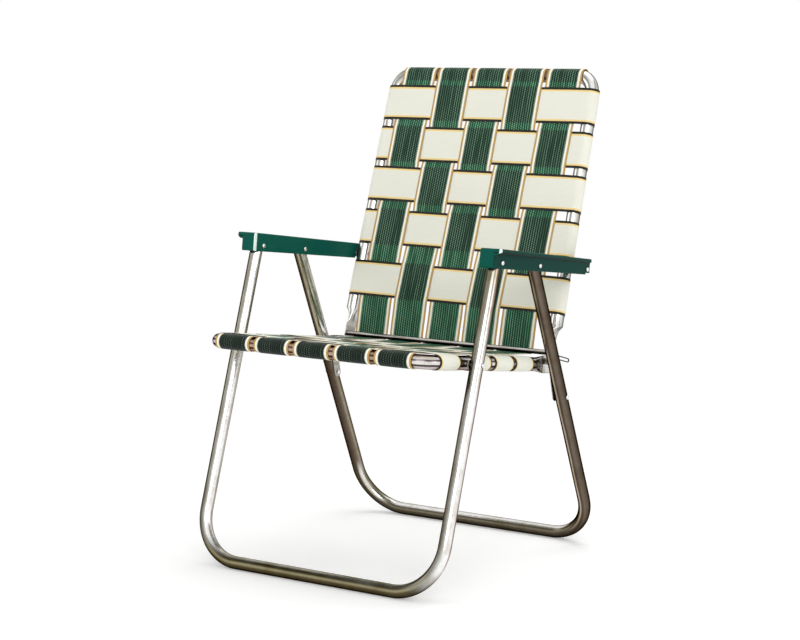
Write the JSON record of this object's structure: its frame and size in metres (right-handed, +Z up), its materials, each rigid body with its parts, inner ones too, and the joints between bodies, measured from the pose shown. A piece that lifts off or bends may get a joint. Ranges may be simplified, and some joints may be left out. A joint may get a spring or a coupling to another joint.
{
  "type": "folding webbed lawn chair",
  "caption": "Folding outdoor chair with tubular legs, plastic arms, and a seat and back woven from flat webbing.",
  "frame": {"origin": "on the floor, at the middle of the box that the chair fills when open", "axes": "+Z up, -Y the way the sitter faces, +X across the chair to the sitter's left"},
  "size_m": [0.5716, 0.6167, 0.8904],
  "materials": {
    "leg_tube": "bright mill finish with fine drawing lines",
    "rail_tube": "bright mill finish with fine drawing lines",
    "arm_plastic": "semi-gloss moulded",
    "green_webbing": "woven polypropylene with black, white and gold edge stripes",
    "cream_webbing": "woven polypropylene with gold and black edge stripes",
    "rivet_aluminium": "bright domed",
    "link_steel": "plated",
    "zinc_steel": "zinc plated"
  },
  "bodies": {
    "front_legs": {"front_leg_frame": "leg_tube", "rivet_seat_front_leg_left": "rivet_aluminium", "rivet_seat_front_leg_right": "rivet_aluminium", "washer_seat_front_leg_left": "zinc_steel", "washer_seat_front_leg_right": "zinc_steel"},
    "seat": {"seat_frame": "rail_tube", "rivet_seat_back_left": "rivet_aluminium", "rivet_seat_back_right": "rivet_aluminium", "washer_seat_back_left": "zinc_steel", "washer_seat_back_right": "zinc_steel", "keeper_wire_left": "zinc_steel", "keeper_wire_right": "zinc_steel", "rivet_link_seat_left": "rivet_aluminium", "rivet_link_seat_right": "rivet_aluminium", "spacer_link_seat_left": "zinc_steel", "spacer_link_seat_right": "zinc_steel", "seat_long_strap_1": "green_webbing", "seat_long_strap_2": "green_webbing", "seat_long_strap_3": "green_webbing", "seat_long_strap_4": "green_webbing", "seat_long_strap_5": "green_webbing", "strap_bend_1": "green_webbing", "strap_bend_2": "green_webbing", "strap_bend_3": "green_webbing", "strap_bend_4": "green_webbing", "strap_bend_5": "green_webbing", "seat_cross_strap_1": "cream_webbing", "seat_cross_strap_2": "cream_webbing", "seat_cross_strap_3": "cream_webbing", "seat_cross_strap_4": "cream_webbing"},
    "back": {"back_frame": "rail_tube", "cross_rod": "zinc_steel", "back_long_strap_1": "green_webbing", "back_long_strap_2": "green_webbing", "back_long_strap_3": "green_webbing", "back_long_strap_4": "green_webbing", "back_long_strap_5": "green_webbing", "back_cross_strap_1": "cream_webbing", "back_cross_strap_2": "cream_webbing", "back_cross_strap_3": "cream_webbing", "back_cross_strap_4": "cream_webbing", "back_cross_strap_5": "cream_webbing"},
    "arms": {"arm_left": "arm_plastic", "arm_right": "arm_plastic", "rivet_arm_front_leg_left": "rivet_aluminium", "rivet_arm_front_leg_right": "rivet_aluminium", "rivet_arm_rear_leg_left": "rivet_aluminium", "rivet_arm_rear_leg_right": "rivet_aluminium", "rivet_arm_back_left": "rivet_aluminium", "rivet_arm_back_right": "rivet_aluminium", "washer_arm_back_left": "zinc_steel", "washer_arm_back_right": "zinc_steel"},
    "rear_legs": {"rear_leg_frame": "leg_tube", "rivet_link_rear_leg_left": "rivet_aluminium", "rivet_link_rear_leg_right": "rivet_aluminium"},
    "links": {"link_left": "link_steel", "link_right": "link_steel", "rivet_link_button_left": "rivet_aluminium", "rivet_link_button_right": "rivet_aluminium"}
  },
  "joints": [
    {"name": "seat_fold", "type": "hinge", "parent": "front_legs", "child": "seat", "pos_m": [0, -0.17308, 0.39268], "axis": [-1, 0, 0], "range_deg": [0, 77]},
    {"name": "back_fold", "type": "hinge", "parent": "seat", "child": "back", "pos_m": [0, 0.12511, 0.35554], "axis": [1, 0, 0], "range_deg": [0, 77], "deforming": ["strap_bend_1", "strap_bend_2", "strap_bend_3", "strap_bend_4", "strap_bend_5"]},
    {"name": "arm_fold", "type": "hinge", "parent": "front_legs", "child": "arms", "pos_m": [0, -0.1174, 0.56406], "axis": [-1, 0, 0], "range_deg": [0, 77]},
    {"name": "rear_leg_fold", "type": "hinge", "parent": "arms", "child": "rear_legs", "pos_m": [0, 0.01012, 0.54818], "axis": [1, 0, 0], "range_deg": [0, 38]},
    {"name": "link_fold", "type": "hinge", "parent": "seat", "child": "links", "pos_m": [0, 0.10142, 0.36353], "axis": [-1, 0, 0], "range_deg": [0, 83]}
  ],
  "couplings": [
    {"joint": "back_fold", "follows": "seat_fold", "ratio": 1},
    {"joint": "arm_fold", "follows": "seat_fold", "ratio": 1},
    {"joint": "rear_leg_fold", "follows": "seat_fold", "ratio": 0.4913},
    {"joint": "link_fold", "follows": "seat_fold", "ratio": 1.0684}
  ]
}
